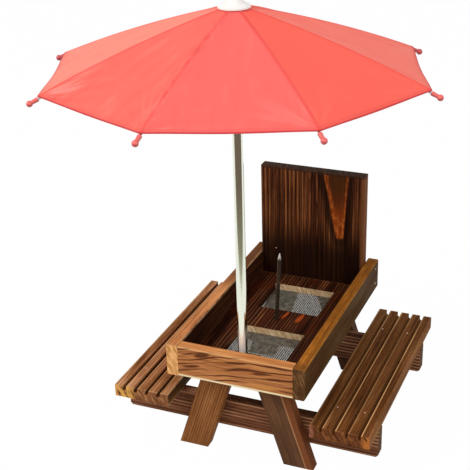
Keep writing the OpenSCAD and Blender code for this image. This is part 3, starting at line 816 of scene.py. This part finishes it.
def net(material):
    """Fine woven wire under each window: every wire passes over and under the ones it crosses."""
    points, faces = [], []

    def strand(path, side_axis):
        start = len(points)
        for p in path:
            for a, b in ((STRAND_W, 0), (0, STRAND_H), (-STRAND_W, 0), (0, -STRAND_H)):
                q = list(p)
                q[side_axis] += a
                q[2] += b
                points.append(Vector((q[0], q[1] + PLAN_Y, q[2])) * MM)
        for i in range(len(path) - 1):
            for s in range(4):
                a, b = start + i * 4 + s, start + i * 4 + (s + 1) % 4
                faces.append((a, b, b + 4, a + 4))
        faces.append(tuple(start + s for s in range(3, -1, -1)))
        faces.append(tuple(len(points) - 4 + s for s in range(4)))

    def weave(i, j):
        return CRIMP if (i + j) % 2 else -CRIMP

    half_w, half_l = WINDOW[0] / 2 + NET_LAP, WINDOW[1] / 2 + NET_LAP
    count_x, count_y = int(2 * half_w / NET_PITCH), int(2 * half_l / NET_PITCH)
    z = TRAY_Z - NET_DOWN
    for mid in WINDOW_MIDS:
        xs = [-half_w + NET_EDGE + i * 2 * (half_w - NET_EDGE) / count_x for i in range(count_x + 1)]
        ys = [mid - half_l + NET_EDGE + j * 2 * (half_l - NET_EDGE) / count_y for j in range(count_y + 1)]
        for i, x in enumerate(xs):
            strand([(x, y, z + weave(i, j)) for j, y in enumerate(ys)], 0)
        for j, y in enumerate(ys):
            strand([(x, y, z - weave(i, j)) for i, x in enumerate(xs)], 1)
    return mesh_piece("window_wire", points, faces, material)


wire_net = net(net_finish())
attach(wire_net, "table")
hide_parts("window_net")


# Small fastenings. A head's profile is (radius, height), both in shares of its radius.
HEAD_PROFILE = ((1.0, 0.0), (1.0, 0.10), (0.86, 0.24), (0.55, 0.33), (0.2, 0.36))
HEAD_TOP, HEAD_SIDES = 0.36, 14
HEAD_R, BOARD_HEAD_R = 0.9, 0.8
BENCH_BRADS_X, BENCH_BRADS_Y = (76.0, 99.3), (16.0, 153.0)
RAIL_SIDE_X, RAIL_NAILS_Y, RAIL_NAILS_Z = 60.0, 181.0, (102.0, 87.0)
BOARD_BRAD = (-35.9, 172.5, 112.5)


def brad(name, at, out, radius, material):
    """A small domed nail head. at is in millimetres, y counted from the pole; out is the way it faces."""
    points, faces = [], []
    for r, h in HEAD_PROFILE:
        for i in range(HEAD_SIDES):
            a = 2 * math.pi * i / HEAD_SIDES
            points.append(Vector((r * radius * math.cos(a), r * radius * math.sin(a), h * radius)))
    points.append(Vector((0, 0, HEAD_TOP * radius)))
    for i in range(len(HEAD_PROFILE) - 1):
        for j in range(HEAD_SIDES):
            a, b = i * HEAD_SIDES + j, i * HEAD_SIDES + (j + 1) % HEAD_SIDES
            faces.append((a, b, b + HEAD_SIDES, a + HEAD_SIDES))
    last = (len(HEAD_PROFILE) - 1) * HEAD_SIDES
    for j in range(HEAD_SIDES):
        faces.append((last + j, last + (j + 1) % HEAD_SIDES, len(points) - 1))
    faces.append(tuple(range(HEAD_SIDES - 1, -1, -1)))
    turn = Vector((0, 0, 1)).rotation_difference(Vector(out)).to_matrix()
    base = Vector((at[0], at[1] + PLAN_Y, at[2]))
    piece = mesh_piece(name, [(base + turn @ p) * MM for p in points], faces, material)
    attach(piece, "table")


COPPER_NAIL = wire_finish("copper_nail", "B98A78", "D9B3A0", 0.35)
PALE_NAIL = wire_finish("pale_nail", "A9A297", "D0C9BC", 0.3)
for side, word in ((-1, "left"), (1, "right")):
    for i, x in enumerate(BENCH_BRADS_X):
        for j, y in enumerate(BENCH_BRADS_Y):
            name = f"bench_brad_{word}_{i + 1}_{j + 1}"
            brad(name, (side * x, y, BENCH_TOP), (0, 0, 1), HEAD_R, COPPER_NAIL)
    for i, z in enumerate(RAIL_NAILS_Z):
        name = f"rail_nail_{word}_{i + 1}"
        brad(name, (side * RAIL_SIDE_X, RAIL_NAILS_Y, z), (side, 0, 0), HEAD_R, PALE_NAIL)
brad("board_brad_left", BOARD_BRAD, (0, -1, 0), BOARD_HEAD_R, COPPER_NAIL)


# Floor, light and camera, in metres
FLOOR_GLOW = 0.985
FLOOR_REACH = 9
CARD_UP, CARD_STEPS, CARD_SCALE_MM = 0.002, 12, 2000.0
CARD_ROWS = ((0.31, 1), (0.345, 28), (0.40, 52), (0.45, 64), (0.57, 74), (0.84, 80), (2.4, 84))
WORLD_LEVEL = 0.55
LAMP_AIM = (0, 0, 0.15)


def floor_finish():
    """A pale floor that looks white but lights the object like any matt floor."""
    f = Finish("studio_floor", Base_Color="F4F4F3", Roughness=0.9)
    glow = f.add("ShaderNodeEmission", {}, {"Color": (1, 1, 1, 1), "Strength": 1.0}).outputs[0]
    both = f.add("ShaderNodeMixShader", {}, {0: f.seen() * FLOOR_GLOW, 1: f.shader.outputs[0], 2: glow})
    f.feed(f.output.inputs[0], both.outputs[0])
    return f.material


corners = [(x * FLOOR_REACH, y * FLOOR_REACH, 0) for x, y in ((-1, -1), (1, -1), (1, 1), (-1, 1))]
studio_floor = mesh_piece("studio_floor", corners, [(0, 1, 2, 3)], floor_finish(), False)


def flag(name, widths):
    """A brown card on the floor that only mirrors see, so that the chrome has something to show.

    widths are (distance from the pole, half angle in degrees as seen from it).
    """
    f = Finish(name, Roughness=0.9)
    x, y, z = f.place()
    far_off = (x * x + y * y).root()
    colour = f.ramp(far_off / CARD_SCALE_MM, (0.15, "B4B49C"), (0.20, "7E7A68"), (0.30, "5C4A3F"))
    f.feed(f.shader.inputs["Base Color"], colour)
    points, faces = [], []
    for far, half in widths:
        for i in range(CARD_STEPS + 1):
            a = math.radians(VIEW_TURN - 90 + half * (2 * i / CARD_STEPS - 1))
            points.append((far * math.cos(a), far * math.sin(a) + PLAN_Y * MM, CARD_UP))
    for row in range(len(widths) - 1):
        for i in range(CARD_STEPS):
            a = row * (CARD_STEPS + 1) + i
            faces.append((a, a + CARD_STEPS + 1, a + CARD_STEPS + 2, a + 1))
    card = mesh_piece(name, points, faces, f.material, False)
    card.visible_camera = False
    card.visible_diffuse = False
    card.visible_shadow = False
    card.visible_transmission = False


flag("studio_flag", CARD_ROWS)


def world_light(level):
    """An even light of the given level that looks plain white."""
    world = bpy.data.worlds.new("studio_world")
    bpy.context.scene.world = world
    tree = Tree(world)
    plain, white = [
        tree.add("ShaderNodeBackground", {}, {"Color": (1, 1, 1, 1), "Strength": strength}).outputs[0]
        for strength in (level, 1.0)]
    both = tree.add("ShaderNodeMixShader", {}, {0: tree.seen(), 1: plain, 2: white})
    tree.add("ShaderNodeOutputWorld", {}, {0: both.outputs[0]})


def lamp(name, at, size, power, colour=(1, 1, 1)):
    """A square lamp that shines on the middle of the object."""
    data = bpy.data.lights.new(name, "AREA")
    data.shape = "SQUARE"
    data.size = size
    data.energy = power
    data.color = colour
    piece = bpy.data.objects.new(name, data)
    bpy.context.scene.collection.objects.link(piece)
    piece.location = at
    piece.rotation_euler = (Vector(LAMP_AIM) - Vector(at)).to_track_quat("-Z", "Y").to_euler()


world_light(WORLD_LEVEL)
lamp("key_light", (-1.1, -1.3, 1.7), 1.1, 26.0, (1.0, 0.985, 0.96))
lamp("fill_light", (1.3, -0.9, 1.0), 1.0, 8.5)


def photo_camera():
    """The photograph's viewpoint: place, turn and lens, for a square picture."""
    turn, tilt, roll = [math.radians(angle) for angle in (VIEW_TURN, VIEW_TILT, VIEW_ROLL)]
    look = Vector((-math.sin(turn) * math.cos(tilt), math.cos(turn) * math.cos(tilt), -math.sin(tilt)))
    right = Vector((math.cos(turn), math.sin(turn), 0))
    down = -right.cross(look)
    rolled_right = math.cos(roll) * right + math.sin(roll) * down
    rolled_down = -math.sin(roll) * right + math.cos(roll) * down
    data = bpy.data.cameras.new("photo_camera")
    data.sensor_width = 36.0
    data.lens = data.sensor_width * LENS_POINTS / PICTURE_POINTS
    camera = bpy.data.objects.new("photo_camera", data)
    bpy.context.scene.collection.objects.link(camera)
    facing = Matrix((rolled_right, -rolled_down, -look)).transposed().to_4x4()
    camera.matrix_world = Matrix.Translation(Vector(VIEW_FROM) + Vector((0, PLAN_Y * MM, 0))) @ facing
    bpy.context.scene.camera = camera


photo_camera()
bpy.context.scene.view_settings.view_transform = "Standard"
